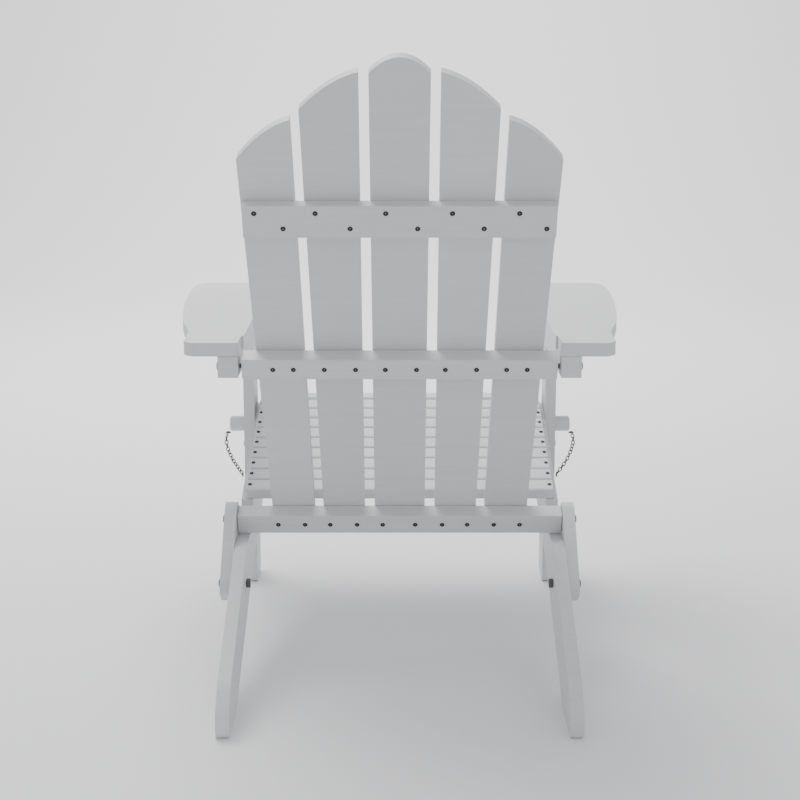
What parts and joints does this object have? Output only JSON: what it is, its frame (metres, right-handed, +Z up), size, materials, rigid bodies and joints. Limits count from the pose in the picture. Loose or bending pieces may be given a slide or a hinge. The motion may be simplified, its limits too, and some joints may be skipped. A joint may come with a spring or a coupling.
{
  "type": "adirondack chair",
  "caption": "Folding white-painted adirondack chair with a fanned slatted back, sloped slatted seat, wide arms and rear link plates.",
  "frame": {"origin": "on the ground, at the middle of the chair's bounding box", "axes": "+Z up, -Y is the chair's front, +X is the sitter's left"},
  "size_m": [0.7854, 0.7809, 0.9911],
  "materials": {
    "white_paint": "white satin paint on wood",
    "dark_steel": "weathered steel"
  },
  "bodies": {
    "seat_frame": {"bolt_leg_seat_left": "dark_steel", "bolt_leg_seat_right": "dark_steel", "bolt_link_leg_left": "dark_steel", "bolt_link_leg_right": "dark_steel", "seat_slat_01": "white_paint", "seat_slat_02": "white_paint", "seat_slat_03": "white_paint", "seat_slat_04": "white_paint", "seat_slat_05": "white_paint", "seat_slat_06": "white_paint", "seat_slat_07": "white_paint", "seat_slat_08": "white_paint", "seat_slat_09": "white_paint", "seat_slat_10": "white_paint", "seat_slat_11": "white_paint", "stringer_left": "white_paint", "stringer_right": "white_paint"},
    "rear_links": {"rear_link_left": "white_paint", "rear_link_right": "white_paint"},
    "back": {"back_rail_bottom": "white_paint", "back_rail_middle": "white_paint", "back_rail_top": "white_paint", "back_slat_1": "white_paint", "back_slat_2": "white_paint", "back_slat_3": "white_paint", "back_slat_4": "white_paint", "back_slat_5": "white_paint", "bolt_link_back_left": "dark_steel", "bolt_link_back_right": "dark_steel"},
    "front_legs": {"bolt_leg_arm_left": "dark_steel", "bolt_leg_arm_right": "dark_steel", "chain_left": "dark_steel", "chain_right": "dark_steel", "front_leg_left": "white_paint", "front_leg_right": "white_paint"},
    "arms": {"arm_left": "white_paint", "arm_rail_left": "white_paint", "arm_rail_right": "white_paint", "arm_right": "white_paint", "bolt_arm_back_left": "dark_steel", "bolt_arm_back_right": "dark_steel"},
    "dowel_left": {"locking_dowel_left": "white_paint"},
    "dowel_right": {"locking_dowel_right": "white_paint"}
  },
  "joints": [
    {"name": "back_fold", "type": "hinge", "parent": "rear_links", "child": "back", "pos_m": [0, 0.054, 0.223], "axis": [1, 0, 0], "range_deg": [0, 150]},
    {"name": "rear_link_swing", "type": "hinge", "parent": "seat_frame", "child": "rear_links", "pos_m": [0, 0.128, 0.139], "axis": [1, 0, 0], "range_deg": [-70.1, 0]},
    {"name": "front_leg_fold", "type": "hinge", "parent": "seat_frame", "child": "front_legs", "pos_m": [0, -0.27, 0.262], "axis": [1, 0, 0], "range_deg": [0, 66.1]},
    {"name": "arm_fold", "type": "hinge", "parent": "front_legs", "child": "arms", "pos_m": [0, -0.249, 0.508], "axis": [1, 0, 0], "range_deg": [-59.5, 0]},
    {"name": "dowel_left_pull", "type": "slide", "parent": "front_legs", "child": "dowel_left", "axis": [1, 0, 0], "range_m": [0, 0.03]},
    {"name": "dowel_right_pull", "type": "slide", "parent": "front_legs", "child": "dowel_right", "axis": [-1, 0, 0], "range_m": [0, 0.03]}
  ],
  "couplings": [
    {"joint": "rear_link_swing", "follows": "back_fold", "ratio": -0.46667},
    {"joint": "front_leg_fold", "follows": "back_fold", "ratio": 0.44},
    {"joint": "arm_fold", "follows": "back_fold", "ratio": -0.396}
  ]
}
